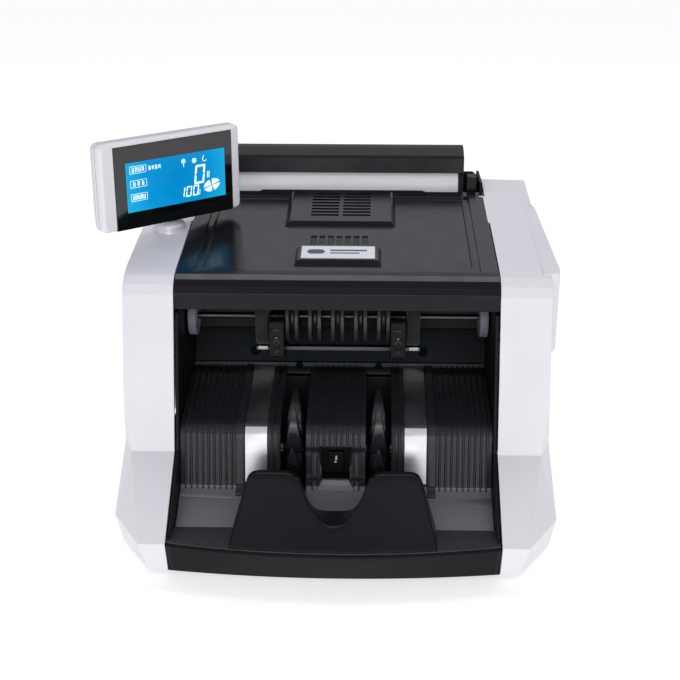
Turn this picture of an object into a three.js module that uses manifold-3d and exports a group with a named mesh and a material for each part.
// Banknote counting machine: hopper at the top rear, exit rollers under the top cover,
// finger wheels that stack the counted notes on the ribbed plate at the front.
// Millimetres, +X to the machine's right, +Y to its rear, +Z up, feet on z = 0.
import * as THREE from 'three';
import { mergeVertices } from 'three/addons/utils/BufferGeometryUtils.js';
import { ConvexGeometry } from 'three/addons/geometries/ConvexGeometry.js';
import Module from 'manifold-3d';

const wasm = await Module();
wasm.setup();

// ---- driving dimensions ----------------------------------------------------
const GAP = 0.3;                 // clearance between neighbouring pieces
const SLOPE = 0.1205;            // rise of the top face per mm to the rear
const TOP_Z = 177.6;             // top face, carried forward to y = 0
const COVER_HALF = 106.8;        // half width of the top cover
const SIDE_IN = 107.5;           // inner edge of the white side covers
const FRAME_X = [104.5, 106.5];  // side frame thickness
const WALL = 2.8;                // side cover wall
const REAR_Y = 204;              // back of the machine
const EXIT_AXIS = [40, 138.5];   // exit shaft, y and z
const STACK_AXIS = [4, 55];      // stacker wheel shaft
const FEED_AXIS = [97.9, 103.2]; // feed roller shaft
const RETARD_AXIS = [95, 139.6]; // fixed retard roller
const MOTOR_AXIS = [96, 40];     // drive motor
const EXIT_TEETH = 19;
const FEED_TEETH = 26;
const GEAR_MODULE = 3;
const STACK_R = 42;              // tip radius of the stacker wheels
const WHEEL_X = 28.5;            // middle of each stacker wheel
const RIB_PITCH = 3.9;
const HEAD_ANGLE = 40.3;         // display head, turned towards the user's right
const GLASS = [94.7, 57.3];      // display window
const GLASS_POS = [-114.1, 75, 225.3];
const PIVOT = [-121.5, 84];      // display swivel axis
const BAR_HALF = 93.3;           // hopper bar half length

// ---- shape helpers ---------------------------------------------------------
function solid(geometry) {
  let g = geometry.clone();
  g.deleteAttribute('normal');
  g.deleteAttribute('uv');
  g = mergeVertices(g, 1e-4);
  const p = g.attributes.position.array;
  const tri = [];
  let volume = 0;
  for (let i = 0; i < g.index.count; i += 3) {
    const a = g.index.array[i], b = g.index.array[i + 1], c = g.index.array[i + 2];
    if (a === b || b === c || a === c) continue;
    tri.push(a, b, c);
    const [ax, ay, az, bx, by, bz, cx, cy, cz] = [a, b, c].flatMap((k) => [p[3 * k], p[3 * k + 1], p[3 * k + 2]]);
    volume += ax * (by * cz - bz * cy) - ay * (bx * cz - bz * cx) + az * (bx * cy - by * cx);
  }
  if (volume < 0) for (let i = 0; i < tri.length; i += 3) [tri[i + 1], tri[i + 2]] = [tri[i + 2], tri[i + 1]];
  return new wasm.Manifold(new wasm.Mesh({
    numProp: 3, vertProperties: new Float32Array(p), triVerts: new Uint32Array(tri),
  }));
}

function geometryOf(body) {
  const m = body.getMesh();
  const g = new THREE.BufferGeometry();
  g.setAttribute('position', new THREE.BufferAttribute(new Float32Array(m.vertProperties), 3));
  g.setIndex(new THREE.BufferAttribute(new Uint32Array(m.triVerts), 1));
  const flat = g.toNonIndexed();
  flat.computeVertexNormals();
  return flat;
}

function extrude(points, depth, holes = []) {
  const shape = new THREE.Shape(points.map((q) => new THREE.Vector2(q[0], q[1])));
  for (const h of holes) shape.holes.push(new THREE.Path(h.map((q) => new THREE.Vector2(q[0], q[1]))));
  return new THREE.ExtrudeGeometry(shape, { depth, bevelEnabled: false, steps: 1 });
}
const basis = (a, b, c, o) => new THREE.Matrix4().makeBasis(new THREE.Vector3(...a), new THREE.Vector3(...b),
  new THREE.Vector3(...c)).setPosition(...o);
// outline of [y, z] pushed along X, of [x, z] along Y, of [x, y] along Z
const alongX = (pts, x0, x1, holes) => solid(extrude(pts, x1 - x0, holes).applyMatrix4(basis([0, 1, 0], [0, 0, 1], [1, 0, 0], [x0, 0, 0])));
const alongY = (pts, y0, y1, holes) => solid(extrude(pts, y1 - y0, holes).applyMatrix4(basis([1, 0, 0], [0, 0, 1], [0, -1, 0], [0, y1, 0])));
const alongZ = (pts, z0, z1, holes) => solid(extrude(pts, z1 - z0, holes).translate(0, 0, z0));
const box = (x0, x1, y0, y1, z0, z1) => solid(new THREE.BoxGeometry(x1 - x0, y1 - y0, z1 - z0)
  .translate((x0 + x1) / 2, (y0 + y1) / 2, (z0 + z1) / 2));
const rodX = (r, x0, x1, [y, z], n = 16) => solid(new THREE.CylinderGeometry(r, r, x1 - x0, n)
  .rotateZ(-Math.PI / 2).translate((x0 + x1) / 2, y, z));
const rodY = (r, y0, y1, x, z, n = 24) => solid(new THREE.CylinderGeometry(r, r, y1 - y0, n).translate(x, (y0 + y1) / 2, z));
const rodZ = (r, z0, z1, x, y, n = 24) => solid(new THREE.CylinderGeometry(r, r, z1 - z0, n)
  .rotateX(Math.PI / 2).translate(x, y, (z0 + z1) / 2));
// turned piece: profile of [radius, distance along the axis]
const turned = (profile, n) => new THREE.LatheGeometry(profile.map((q) => new THREE.Vector2(q[0], q[1])), n);
const turnedX = (profile, [y, z], n = 24, x = 0) => solid(turned(profile, n).rotateZ(-Math.PI / 2).translate(x, y, z));
const turnedY = (profile, x, z, n = 24) => solid(turned(profile, n).translate(x, 0, z));
const turnedZ = (profile, x, y, n = 24) => solid(turned(profile, n).rotateX(Math.PI / 2).translate(x, y, 0));
const convex = (pts) => solid(new ConvexGeometry(pts.map((q) => new THREE.Vector3(...q))));
// slab lying in the sloped top face: y along it, n above it
const slab = (x0, x1, y0, y1, n0, n1) => solid(new THREE.BoxGeometry(x1 - x0, y1 - y0, n1 - n0)
  .translate((x0 + x1) / 2, (y0 + y1) / 2, (n0 + n1) / 2).rotateX(Math.atan(SLOPE)).translate(0, 0, TOP_Z));
const join = (...b) => b.reduce((s, t) => s.add(t));
const cut = (s, ...b) => b.reduce((r, t) => r.subtract(t), s);
const rounded = (w, h, r, n = 3, cx = 0, cy = 0) => {
  const out = [];
  for (const [sx, sy, a0] of [[1, 1, 0], [-1, 1, 90], [-1, -1, 180], [1, -1, 270]]) {
    for (let i = 0; i <= n; i++) {
      const a = THREE.MathUtils.degToRad(a0 + (90 * i) / n);
      out.push([cx + sx * (w / 2 - r) + r * Math.cos(a), cy + sy * (h / 2 - r) + r * Math.sin(a)]);
    }
  }
  return out;
};
// closed body through equal-length outlines of [y, z], one per x station
function loftX(stations) {
  const n = stations[0].pts.length;
  const pos = [], idx = [];
  for (const s of stations) for (const q of s.pts) pos.push(s.x, q[0], q[1]);
  for (let i = 0; i + 1 < stations.length; i++) {
    for (let j = 0; j < n; j++) {
      const a = i * n + j, b = i * n + ((j + 1) % n), c = a + n, d = b + n;
      idx.push(a, b, c, b, d, c);
    }
  }
  const cap = (k) => THREE.ShapeUtils.triangulateShape(stations[k].pts.map((q) => new THREE.Vector2(q[0], q[1])), []);
  const last = stations.length - 1;
  const ccw = THREE.ShapeUtils.area(stations[0].pts.map((q) => new THREE.Vector2(q[0], q[1]))) > 0;
  if (!ccw) for (let i = 0; i < idx.length; i += 3) [idx[i + 1], idx[i + 2]] = [idx[i + 2], idx[i + 1]];
  for (const t of cap(0)) idx.push(t[2], t[1], t[0]);
  for (const t of cap(last)) idx.push(...t.map((k) => k + last * n));
  const g = new THREE.BufferGeometry();
  g.setAttribute('position', new THREE.BufferAttribute(new Float32Array(pos), 3));
  g.setIndex(idx);
  return solid(g);
}

// ---- scene graph -----------------------------------------------------------
const machine = new THREE.Group();
const paint = (color, roughness, metalness = 0) => ({ color, roughness, metalness });
const LOOK = {
  white: paint(0xe9e7ee, 0.38), gloss: paint(0x2a2a2f, 0.12), black: paint(0x1d1f22, 0.5),
  steel: paint(0xb9bcc2, 0.28, 1), zinc: paint(0x8f949b, 0.4, 0.9), rubber: paint(0x17181a, 0.8),
  lilac: paint(0x8d8aa0, 0.5), silver: paint(0xcfd0d4, 0.22, 1), glass: paint(0x0b0c10, 0.05),
  blue: paint(0x1593dd, 0.4), green: paint(0x1f6b3a, 0.6), nylon: paint(0xe6e2d6, 0.5), key: paint(0x5d6068, 0.5),
};
function add(name, body, look, parent = machine) {
  const mesh = new THREE.Mesh(geometryOf(body), new THREE.MeshStandardMaterial(look));
  mesh.name = name;
  parent.add(mesh);
  return mesh;
}

// ---- white side covers: thin moulded shells, open towards the machine ------
function sideCover(s) {
  const at = (x, pts) => pts.map(([y, z]) => [s * x, y, z]);
  const upper = convex([
    ...at(SIDE_IN, [[22, 180.25], [10, 177.4], [3, 173.2], [0, 167], [-26, 65.6], [182.6, 199.6], [196, 197], [REAR_Y, 188], [REAR_Y, 50], [-15, 50]]),
    ...at(141.1, [[22, 180.25], [10, 177.4], [3, 173.2], [0, 167]]), ...at(140.9, [[-18.5, 95]]),
    ...at(136.3, [[-26, 65.6]]), ...at(140.7, [[182.6, 199.6], [192, 197]]), ...at(138, [[REAR_Y, 187]]),
    ...at(144, [[-4, 62], [196, 62]]), ...at(138, [[REAR_Y, 50]]), ...at(143.4, [[0, 50]]),
  ]);
  const lower = convex([
    ...at(SIDE_IN, [[-26, 65.6], [-81, 27], [-73.8, 3], [REAR_Y, 3], [REAR_Y, 72]]),
    ...at(136.3, [[-26, 65.6]]), ...at(124.8, [[-81, 27]]), ...at(119.8, [[-73.8, 3]]),
    ...at(144, [[-4, 64.5], [196, 66]]), ...at(146.5, [[-43, 27], [196, 27]]), ...at(143.2, [[-36, 3], [194, 3]]),
    ...at(138, [[REAR_Y, 3], [REAR_Y, 66]]),
  ]);
  const inUpper = convex([
    ...at(100, [[22, 177.2], [11, 174.6], [5.6, 171.2], [3, 165.5], [-23.54, 63.9], [182, 196.7], [195, 194.2], [REAR_Y - WALL, 186.5], [REAR_Y - WALL, 40], [-12, 40]]),
    ...at(138.2, [[22, 177.2], [11, 174.6], [5.6, 171.2], [3, 165.5]]), ...at(138, [[-15.6, 94.5]]),
    ...at(133.6, [[-23.54, 63.9]]), ...at(137.8, [[182, 196.7], [191, 194.4]]), ...at(135.6, [[REAR_Y - WALL, 186]]),
    ...at(141.1, [[-3, 62], [194, 62]]), ...at(135.6, [[REAR_Y - WALL, 40]]), ...at(140.5, [[0, 45]]),
  ]);
  const inLower = convex([
    ...at(100, [[-23.54, 63.9], [-77.74, 25.87], [-69.98, 0], [REAR_Y - WALL, 0], [REAR_Y - WALL, 70]]),
    ...at(133.6, [[-23.54, 63.9]]), ...at(122.4, [[-77.74, 25.87]]), ...at(117.2, [[-69.98, 0]]),
    ...at(141.1, [[-3, 63.5], [194, 65]]), ...at(143.6, [[-41, 26.6], [194, 27]]), ...at(140, [[-33, 0], [192, 0]]),
    ...at(135.6, [[REAR_Y - WALL, 0], [REAR_Y - WALL, 65]]),
  ]);
  return { outer: join(upper, lower), inner: join(inUpper, inLower) };
}
const topCut = slab(90, 170, -60, 220, 0, 40);
const bulge = cut(alongZ([[136, 12], [145.6, 14.5], [147.4, 16.5], [147.8, 20], [142.8, 127.6], [141.8, 129.5], [136, 131]], 121, 205), topCut,
  convex([[142, 0, 120], [152, 0, 120], [152, 0, 130], [142, 160, 120], [152, 160, 120], [152, 160, 130]]));
const bulgeIn = cut(alongZ([[130, 15.5], [144.2, 18], [144.8, 21], [140.1, 126], [139.4, 127], [130, 127]], 125, 205),
  slab(90, 170, -60, 220, -WALL, 40));
const KEYS = [[40, 146.85], [66, 145.65], [92, 144.45]];      // y, face x of each key
const KEY_Z = 152;
{
  const r = sideCover(1), l = sideCover(-1);
  let right = cut(join(r.outer, bulge), r.inner, bulgeIn);
  for (const [y] of KEYS) right = cut(right, alongX(rounded(15, 9, 2.2, 2, y, KEY_Z), 141, 156));
  add('right_side_cover', right, LOOK.white);
  add('left_side_cover', cut(l.outer, l.inner), LOOK.white);
}
KEYS.forEach(([y, x], i) => add(['mode_key', 'batch_key', 'start_key'][i], join(
  alongX(rounded(14, 8, 1.9, 2, y, KEY_Z), x - 6, x + 1.6),
  alongX(rounded(18, 11.5, 1.9, 2, y, KEY_Z), x - 8, x - 5.4)), LOOK.key));

// ---- side frames, base plate, feet, rear cover -----------------------------
const shaftHoles = (x0, x1) => [rodX(2.28, x0, x1, EXIT_AXIS, 16), rodX(4.08, x0, x1, STACK_AXIS, 16), rodX(4.08, x0, x1, FEED_AXIS, 16)];
const FRAME = [[-54, 6.3], [199, 6.3], [199, 203], [160.6, 203], [158.4, 194], [158.4, 155], [-1.5, 155], [-25.4, 66.2], [-74, 30.4], [-74, 28.9], [-54, 28.9]];
add('right_side_frame', cut(alongX(FRAME, FRAME_X[0], FRAME_X[1]), ...shaftHoles(100, 110), rodX(6, 100, 110, MOTOR_AXIS, 16)), LOOK.black);
add('left_side_frame', cut(alongX(FRAME, -FRAME_X[1], -FRAME_X[0]), ...shaftHoles(-110, -100)), LOOK.black);
add('base_plate', alongZ([[-138, -26], [-112, -48], [112, -48], [138, -26], [138, 192], [132, 198], [-132, 198], [-138, 192]], 4, 6), LOOK.zinc);
for (const [name, x, y] of [['front_left_foot', -104, -34], ['front_right_foot', 104, -34], ['rear_left_foot', -116, 180], ['rear_right_foot', 116, 180]]) {
  add(name, turnedZ([[0, 0], [8, 0], [9.5, 1.2], [9, 3.7], [0, 3.7]], x, y, 20), LOOK.rubber);
}
const KNOB = [0, 176];
add('rear_cover', cut(alongY([[-106.9, 6.6], [106.9, 6.6], [106.9, 197], [102, 201.5], [-102, 201.5], [-106.9, 197]], 201, 203.6),
  box(-78, -50, 190, 210, 28, 52), box(-44, -29, 190, 210, 29.5, 50.5), rodY(4.1, 190, 210, KNOB[0], KNOB[1], 20),
  ...[0, 1, 2, 3, 4, 5, 6, 7].map((i) => box(44, 98, 190, 210, 40 + 8 * i, 43.5 + 8 * i))), LOOK.black);
add('power_inlet', cut(box(-77.7, -50.3, 186, 205.4, 28.3, 51.7), alongY([[-74.5, 32], [-53.5, 32], [-53.5, 43], [-58, 48], [-70, 48], [-74.5, 43]], 192, 206)), LOOK.black);
add('power_switch', alongX([[198, 32.5], [204.2, 31.3], [204.9, 33], [204.4, 40], [206.9, 47.5], [206.2, 49], [198, 47.5]], -42.6, -30.4), LOOK.black);
{
  const knurl = [];
  for (let i = 0; i < 36; i++) {
    const a = (2 * Math.PI * i) / 36, r = i % 4 < 2 ? 11 : 10.2;
    knurl.push([KNOB[0] + r * Math.cos(a), KNOB[1] + r * Math.sin(a)]);
  }
  add('gap_adjust_knob', join(alongY(knurl, 204.2, 212), rodY(8.5, 211.9, 213.2, KNOB[0], KNOB[1], 24), rodY(4.02, 186, 204.3, KNOB[0], KNOB[1], 20)), LOOK.black);
}

// ---- front tray and the two-humped note stop -------------------------------
const bow = (x) => 1 - (x / 107) ** 2;
const trayTop = (x) => -81 - 11.6 * bow(x);
{
  const stations = [];
  for (let i = 0; i <= 18; i++) {
    const x = -107.2 + (214.4 * i) / 18, t = trayTop(x), b = -73.8 - 7.5 * bow(x);
    stations.push({ x, pts: [[-57.6, 25.4], [t + 1.6, 27.1], [t, 26], [b, 3.2], [b + 2.6, 3.2], [t + 3, 24.4], [-60.2, 22.9], [-60.2, 8], [-57.6, 8]] });
  }
  add('front_tray', loftX(stations), LOOK.black);
  const H = [[0, 38.4], [8, 38.6], [12, 40], [15, 42.8], [17.4, 47], [19.4, 52.5], [21.4, 58.5], [23.4, 63.2], [26, 66.2], [30, 67.5], [50, 67.6], [54, 66.4], [56.4, 63], [61.5, 44.6], [65.7, 29.9]];
  const all = [...H.slice(1).reverse().map(([x, z]) => [-x, z]), ...H];
  add('front_note_stop', loftX(all.map(([x, z]) => {
    // a flat sloping front shared by both humps; the notch is a channel through it
    const f = trayTop(x) + 2.8, c = 0.08 + 0.42 * Math.min(1, (x / 12.5) ** 2);
    const face = (y) => { const t = (y + 58.4) / (f + 58.4); return 67.6 + (28.2 - 67.6) * t - 5.5 * t * (1 - t); };
    const lip = Math.min(z, 67.6), floor = (y) => lip + c * (-57.4 - y);
    let yi = -57.4;
    while (yi > f + 1 && face(yi) > floor(yi)) yi -= 0.05;
    const on = (t) => { const y = yi + t * (f - yi); return [y, Math.min(face(y), floor(y))]; };
    return { x, pts: [[-53.6, 27.9], [-53.6, z - 1.2], [-54.6, lip], [-57, lip], [yi - 0.1, Math.min(face(yi - 0.1), floor(yi - 0.1))], on(0.35), on(0.68), [f, 28.2], [f, 27.35], [-58.2, 26]] };
  })), LOOK.black);
}

// ---- stacker: ribbed plate, antistatic strips, sensor, throat ---------------
const SURF = [[58.1, 92.7], [-11.5, 82.1], [-17, 79.9], [-20.3, 75.2], [-27, 44], [-29.6, 39.2], [-57, 25.8]];
// the plate's running line moved outwards by d, first to last point
function lifted(d, a = 0, b = SURF.length - 1) {
  const out = [];
  for (let i = a; i <= b; i++) {
    const p = SURF[Math.max(a, i - 1)], q = SURF[Math.min(b, i + 1)], m = SURF[i];
    const n1 = i > a ? [-(m[1] - p[1]), m[0] - p[0]] : null, n2 = i < b ? [-(q[1] - m[1]), q[0] - m[0]] : null;
    const unit = (v) => { const l = Math.hypot(...v); return [v[0] / l, v[1] / l]; };
    const u = n1 ? unit(n1) : unit(n2), v = n2 ? unit(n2) : unit(n1);
    const k = 1 + u[0] * v[0] + u[1] * v[1];
    out.push([m[0] - (d * (u[0] + v[0])) / k, m[1] - (d * (u[1] + v[1])) / k]);
  }
  return out;
}
const sheetOn = (d0, d1, a, b, x0, x1) => alongX([...lifted(d1, a, b), ...lifted(d0, a, b).reverse()], x0, x1);
{
  let plate = sheetOn(-2, 0, 0, 6, -104.2, 104.2);
  const ribs = [];
  for (const s of [-1, 1]) {
    for (let x = 69.4; x < 104; x += RIB_PITCH) ribs.push(s * x);
    for (const x of [38.6, 42.3]) ribs.push(s * x);
  }
  for (let k = -4; k <= 4; k++) ribs.push(k * RIB_PITCH + (k === 0 ? 0 : 0));
  for (const x of ribs) plate = plate.add(sheetOn(-0.6, 1.2, 0, 5, x - 0.75, x + 0.75));
  for (const s of [-1, 1]) plate = plate.add(sheetOn(-0.6, 1.2, 0, 4, Math.min(s * 61, s * 67), Math.max(s * 61, s * 67)));
  for (const s of [-1, 1]) {
    plate = cut(plate, box(s * WHEEL_X - 8.5, s * WHEEL_X + 8.5, -40, 50, 40.5, 110),
      box(s * WHEEL_X - 8.5, s * WHEEL_X + 8.5, -36.4, -20, 25, 60));
  }
  plate = cut(plate.add(alongX([[-26, 44.4], [-21.3, 68.6], [-14, 68.6], [-14, 44.4]], -10.9, 10.9)), box(-9.2, 9.2, -40, -16, 45.9, 66.8));
  add('stacker_plate', plate, LOOK.black);
  for (const [name, s] of [['left', -1], ['right', 1]]) {
    add(`${name}_antistatic_strip`, sheetOn(0.15, 0.8, 0, 4, Math.min(s * 45.8, s * 60.5), Math.max(s * 45.8, s * 60.5)), LOOK.silver);
  }
  const T = [[58.7, 90.6], [59, 95.6], [62.4, 95.2], [78.2, 112.6], [83, 115.2], [83, 113], [79.8, 111], [64.4, 94], [63.6, 90.6]];
  add('throat_panel', alongX(T, -104.2, 104.2), LOOK.black);
  add('upper_guide', alongX([[62.6, 121.4], [66, 119.2], [74, 119.2], [74, 121], [66.8, 121], [64.8, 123], [66.4, 156.6], [64.4, 156.6]], -104.2, 104.2), LOOK.black);
}

// ---- stacker wheels and their shaft ----------------------------------------
function stackerWheel(x) {
  const pts = [], n = 8;
  for (let i = 0; i < n; i++) {
    const at = (r, deg) => {
      const a = THREE.MathUtils.degToRad(43 - deg - (360 * i) / n);
      return [STACK_AXIS[0] + r * Math.cos(a), STACK_AXIS[1] + r * Math.sin(a)];
    };
    pts.push(at(15, 0), at(24, 16), at(33, 40), at(STACK_R - 1.2, 67), at(STACK_R - 3, 69.5), at(31.5, 51), at(22, 34));
  }
  const disc = alongX(pts, x - 6, x + 6);
  const lens = turnedX([[0, -6.2], [15, -6.2], [STACK_R + 1, -1.8], [STACK_R + 1, 1.8], [15, 6.2], [0, 6.2]], STACK_AXIS, 16, x);
  return cut(disc.intersect(lens).add(rodX(9, x - 8, x + 8, STACK_AXIS, 16)), rodX(4.08, x - 12, x + 12, STACK_AXIS, 16));
}
add('left_stacker_wheel', stackerWheel(-WHEEL_X), LOOK.black);
add('right_stacker_wheel', stackerWheel(WHEEL_X), LOOK.black);
add('stacker_shaft', rodX(4, -106.4, 128.6, STACK_AXIS, 16), LOOK.steel);

// ---- exit shaft with its rollers, running in two bearings ------------------
add('exit_shaft', rodX(2.2, -106.4, 115.6, EXIT_AXIS, 16), LOOK.steel);
[-31.3, -15.65, 0, 15.65, 31.3].forEach((x, i) => add(`exit_roller_${i + 1}`, turnedX(
  [[2.25, -4.6], [18, -4.6], [18, -1.8], [9.5, -1.8], [9.5, 1.8], [18, 1.8], [18, 4.6], [2.25, 4.6], [2.25, -4.6]],
  EXIT_AXIS, 16, x), LOOK.black));
for (const [name, x] of [['left', -51.6], ['right', 51.6]]) {
  add(`exit_rubber_roller_${name}`, turnedX([[2.25, -4.9], [8, -4.9], [8, -4.3], [20, -4.3], [20, 4.3], [8, 4.3], [8, 4.9], [2.25, 4.9], [2.25, -4.9]], EXIT_AXIS, 20, x), LOOK.rubber);
}
for (const [name, s] of [['left', -1], ['right', 1]]) {
  add(`exit_bearing_${name}`, turnedX([[2.28, -3.6], [12.9, -3.6], [13.8, -2.7], [13.8, 3.6], [2.28, 3.6], [2.28, -3.6]], EXIT_AXIS, 16, s * 100.4), LOOK.lilac);
}
add('guide_bar', alongX([[36.4, 114], [41.4, 114], [41.4, 116.6], [40.6, 117.3], [37.2, 117.3], [36.4, 116.6]], -57, 57), LOOK.silver);
for (const [name, s] of [['left', -1], ['right', 1]]) {
  const x0 = s > 0 ? 36.2 : -46.2, x1 = s > 0 ? 46.2 : -36.2;
  add(`${name}_sensor_bracket`, join(
    alongX([[15, 118], [16, 117], [31, 111], [75, 110.2], [75, 113.6], [33, 113.6], [22, 118.4], [19.6, 120.4], [19.6, 142], [18.4, 143.4], [15.8, 143.4], [15, 142.4]], x0, x1),
    rodY(2.4, 14, 15.4, (x0 + x1) / 2, 126.5, 14)), LOOK.black);
}

// ---- feed roller, retard roller, gears, belt drive and motor ---------------
add('feed_shaft', rodX(4, -106.4, 128.6, FEED_AXIS, 16), LOOK.steel);
add('feed_roller', turnedX([[4.05, -46], [13.6, -46], [13.6, 46], [4.05, 46], [4.05, -46]], FEED_AXIS, 16), LOOK.rubber);
add('retard_roller', turnedX([[0, -104], [4, -104], [4, -36], [18, -36], [18, 36], [4, 36], [4, 104], [0, 104]], RETARD_AXIS, 16), LOOK.nylon);
function gear(teeth, [y, z], x0, x1, bore, phase) {
  const r = (teeth * GEAR_MODULE) / 2, pts = [];
  for (let i = 0; i < teeth; i++) {
    for (const [dr, f] of [[-3.2, -0.33], [2.5, -0.13], [2.5, 0.13], [-3.2, 0.33]]) {
      const a = phase + ((i + f) * 2 * Math.PI) / teeth;
      pts.push([y + (r + dr) * Math.cos(a), z + (r + dr) * Math.sin(a)]);
    }
  }
  return cut(alongX(pts, x0, x1), rodX(bore, x0 - 2, x1 + 2, [y, z], 24));
}
const MESH_ANGLE = Math.atan2(FEED_AXIS[1] - EXIT_AXIS[1], FEED_AXIS[0] - EXIT_AXIS[0]);
add('exit_gear', gear(EXIT_TEETH, EXIT_AXIS, 109, 114.6, 2.25, MESH_ANGLE), LOOK.nylon);
add('feed_gear', gear(FEED_TEETH, FEED_AXIS, 109, 114.6, 4.05, MESH_ANGLE + Math.PI + Math.PI / FEED_TEETH), LOOK.nylon);
const pulley = (axis, bore) => turnedX([[bore, 117.6], [12.6, 117.6], [12.6, 119], [10.2, 119], [10.2, 126.8], [12.6, 126.8], [12.6, 128.2], [bore, 128.2], [bore, 117.6]], axis, 16);
add('stacker_pulley', pulley(STACK_AXIS, 4.05), LOOK.nylon);
add('feed_pulley', pulley(FEED_AXIS, 4.05), LOOK.nylon);
add('motor_pulley', join(turnedX([[0, 117.6], [12.6, 117.6], [12.6, 119], [10.2, 119], [10.2, 126.8], [12.6, 126.8], [12.6, 128.2], [0, 128.2]], MOTOR_AXIS, 16),
  rodX(2.5, 92, 118, MOTOR_AXIS, 16)), LOOK.nylon);
function hull2(points) {
  const p = points.slice().sort((a, b) => a[0] - b[0] || a[1] - b[1]);
  const turn = (o, a, b) => (a[0] - o[0]) * (b[1] - o[1]) - (a[1] - o[1]) * (b[0] - o[0]);
  const half = (list) => { const h = []; for (const q of list) { while (h.length > 1 && turn(h[h.length - 2], h[h.length - 1], q) <= 0) h.pop(); h.push(q); } h.pop(); return h; };
  return [...half(p), ...half(p.reverse())];
}
const beltLoop = (r) => hull2([MOTOR_AXIS, STACK_AXIS, FEED_AXIS].flatMap(([y, z]) => Array.from({ length: 20 }, (_, i) => {
  const a = (2 * Math.PI * i) / 20;
  return [y + r * Math.cos(a), z + r * Math.sin(a)];
})));
add('drive_belt', alongX(beltLoop(12.2), 119.6, 126.2, [beltLoop(10.5)]), LOOK.rubber);
add('drive_motor', cut(join(rodX(22, 46, 104.2, MOTOR_AXIS, 20), rodX(8, 40, 47, MOTOR_AXIS, 12)), rodX(2.58, 90, 110, MOTOR_AXIS, 16)), LOOK.zinc);
add('main_board', join(box(-98, 28, 60, 190, 14, 15.6), box(-90, -62, 150, 180, 15.5, 38), box(-50, -34, 140, 165, 15.5, 32), box(-20, 16, 80, 92, 15.5, 24),
  box(-90, -70, 80, 110, 15.5, 22), rodZ(7, 15.5, 40, -24, 176, 16), ...[[-94, 64], [24, 64], [-94, 186], [24, 186]].map(([x, y]) => rodZ(2.5, 6.3, 15, x, y, 10))), LOOK.green);

// ---- top cover: glossy shell with rails, recessed panel, plateau and vents --
{
  const H = COVER_HALF, t = 3.6;
  const skin = [[0, 157], [0, 168], [1.6, 172.2], [5, 176], [10, 178.4], [16, 179.53], [22, TOP_Z + 22 * SLOPE], [157, TOP_Z + 157 * SLOPE],
    [157, TOP_Z + 157 * SLOPE - t], [22, TOP_Z + 22 * SLOPE - t], [12, 175.2], [6.5, 172.4], [3.2, 167], [3.2, 157]];
  const side = [[0, 157], [0, 168], [1.6, 172.2], [5, 176], [10, 178.4], [16, 179.53], [22, TOP_Z + 22 * SLOPE], [157, TOP_Z + 157 * SLOPE], [157, 157]];
  let cover = join(alongX(skin, -H, H), alongX(side, -H, -H + 2.2), alongX(side, H - 2.2, H),
    cut(alongZ([[-63, 150], [63, 150], [63, 157.5], [60.5, 160], [-60.5, 160], [-63, 157.5]], 186, 200),
      slab(-80, 80, 130, 180, 0, 30), slab(-80, 80, 130, 180, -30, -t)));
  for (const s of [-1, 1]) cover = cut(cover, slab(Math.min(s * 91, s * 95), Math.max(s * 91, s * 95), 14, 149, -1.6, 6));
  cover = cut(cover, convex([[-89.5, 1], [89.5, 1]].flatMap(([x]) => [[x, 20], [x, 146]].flatMap(([a, y]) => {
    const k = Math.cos(Math.atan(SLOPE)), m = Math.sin(Math.atan(SLOPE));
    const up = (yy, n) => [a, yy * k - n * m, TOP_Z + yy * m + n * k];
    return [up(y, 3), up(y === 20 ? y - 3 : y + 4, 3), up(y === 20 ? y + 3 : y, -1.5)].map((q, i) => (i === 1 ? [q[0] * 1.004, q[1], q[2]] : q));
  }))));
  const plateau = (x0, y0, y1, n0, n1, b) => {
    const k = Math.cos(Math.atan(SLOPE)), m = Math.sin(Math.atan(SLOPE));
    const up = (x, y, n) => [x, y * k - n * m, TOP_Z + y * m + n * k];
    return convex([-1, 1].flatMap((s) => [up(s * x0, y0, n0), up(s * x0, y1, n0), up(s * (x0 - b), y0 + b * 1.6, n1), up(s * (x0 - b), y1 - b * 0.6, n1)]));
  };
  cover = join(cover, plateau(40, 91, 156, -2, 1.6, 3.4), plateau(29.5, 24.5, 52, -2, 2.2, 2.2));
  for (let r = 0; r < 8; r++) {
    const y = 106 + r * 5.9;
    cover = cut(cover, slab(-21.5, -1.6, y, y + 2.9, -6, 6), slab(1.6, 21.5, y, y + 2.9, -6, 6));
  }
  for (let c = -3; c <= 3; c++) cover = cut(cover, slab(c * 6 - 2, c * 6 + 2, 62, 77, -6, 6));
  add('top_cover', cover, LOOK.gloss);
  add('name_plate', slab(-25, 25, 29.6, 48.4, 2.3, 3.3), LOOK.silver);
}

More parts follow.
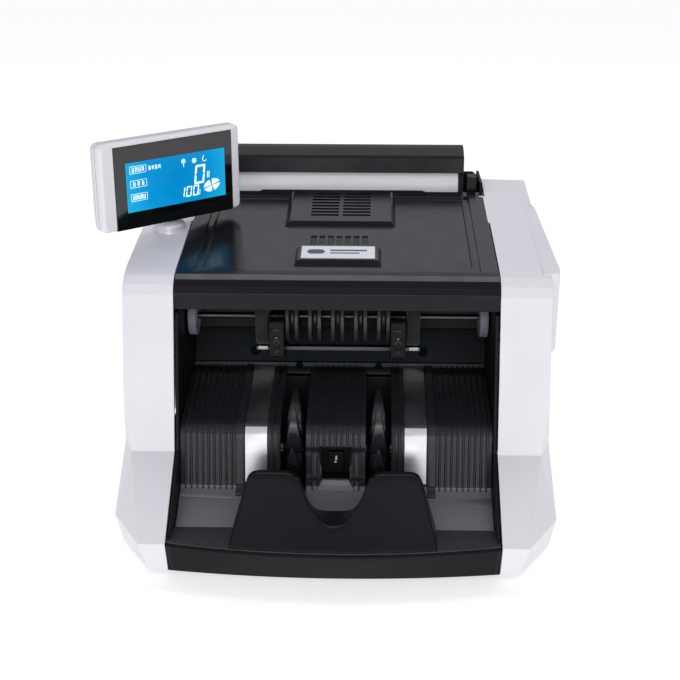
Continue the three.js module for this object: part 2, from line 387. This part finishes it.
// ---- hopper: back frame with its thick bar, sheet and sliding note guides ---
add('hopper_back_frame', join(
  alongX([[176.5, 206.1], [177.4, 217.4], [179, 219.4], [190, 223.2], [192, 223.6], [199, 223.6], [202.6, 220], [203.2, 209], [200, 206.6], [187, 206.1]], -BAR_HALF, BAR_HALF),
  ...[-1, 1].map((s) => alongX([[181, 206.6], [192, 206.6], [192, 196], [148, 121.5], [148, 118.4], [133.6, 118.4]], Math.min(s * 89.6, s * BAR_HALF), Math.max(s * 89.6, s * BAR_HALF)))), LOOK.black);
add('hopper_sheet', cut(alongX([[181.3, 205.8], [182.8, 205.8], [134.2, 119], [126.3, 117.2], [117.5, 117.2], [117.5, 118.6], [126, 118.6], [132.9, 120.2]], -89.2, 89.2),
  box(-40, -24, 140, 160, 120, 160), box(24, 40, 140, 160, 120, 160)), LOOK.silver);
for (const [name, s] of [['left', -1], ['right', 1]]) {
  add(`${name}_note_guide`, join(
    alongX([[163.8, 206.4], [175, 206.4], [175, 198.6], [146, 149.5], [141, 149.5], [163.8, 188]], s > 0 ? 95.4 : -98, s > 0 ? 98 : -95.4),
    alongX([[163.8, 206.4], [175, 206.4], [175, 199], [168.4, 188], [163.8, 188]], s > 0 ? 97.9 : -102.2, s > 0 ? 102.2 : -97.9)), LOOK.black);
}

// ---- display: domed base on the left cover, head on a vertical pivot --------
{
  const [px, py] = PIVOT;
  add('display_base', cut(turnedZ([[0, 180], [11.4, 180], [11.4, 190.8], [10.7, 192.4], [8.8, 193.8], [6.8, 194.5], [0, 194.5]], px, py, 28),
    slab(-160, -80, 40, 140, -30, 0.35), rodZ(5.06, 170, 200, px, py, 20)), LOOK.white);
  const head = new THREE.Group();
  head.position.set(...GLASS_POS);
  head.rotation.z = THREE.MathUtils.degToRad(HEAD_ANGLE);
  machine.add(head);
  const c = Math.cos(head.rotation.z), q = Math.sin(head.rotation.z);
  const dx = px - GLASS_POS[0], dy = py - GLASS_POS[1];
  const lx = dx * c + dy * q, ly = -dx * q + dy * c;
  const [gw, gh] = GLASS, x0 = -57.8, x1 = 54.8, z0 = -29.2, z1 = 31.9, D = 18.5;
  const ring = (inset, y, r) => rounded(x1 - x0 - 2 * inset, z1 - z0 - 2 * inset, r, 3, (x0 + x1) / 2, (z0 + z1) / 2).map(([x, z]) => [x, y, z]);
  const shell = convex([...ring(1.9, 0, 2.4), ...ring(0, 2.2, 4), ...ring(0, 11, 4), ...ring(1.6, 15.6, 4), ...ring(5, D, 4)]);
  const pocket = box(-gw / 2 - 0.3, gw / 2 + 0.3, -2, 2.2, z0 - 1, gh / 2 + 0.3);
  const well = box(-43, 43, 2, 14, -22, 22);
  add('display_shell', join(cut(shell, pocket, well), cut(rodZ(5, 188.6 - GLASS_POS[2], z0 + 1, lx, ly, 20), box(-80, 80, -10, 0, -60, 60))), LOOK.white, head);
  add('display_glass', box(-gw / 2, gw / 2, 0.1, 2, z0 + 0.3, gh / 2), LOOK.glass, head);
  add('display_lcd', box(-42, 42, 2.4, 7, -19.5, 19.5), LOOK.blue, head);
}

// ---- origin: middle of the footprint, on the table --------------------------
machine.updateMatrixWorld(true);
const extent = new THREE.Box3().setFromObject(machine, true);
machine.position.set(-(extent.min.x + extent.max.x) / 2, -(extent.min.y + extent.max.y) / 2, -extent.min.z);
export default machine;
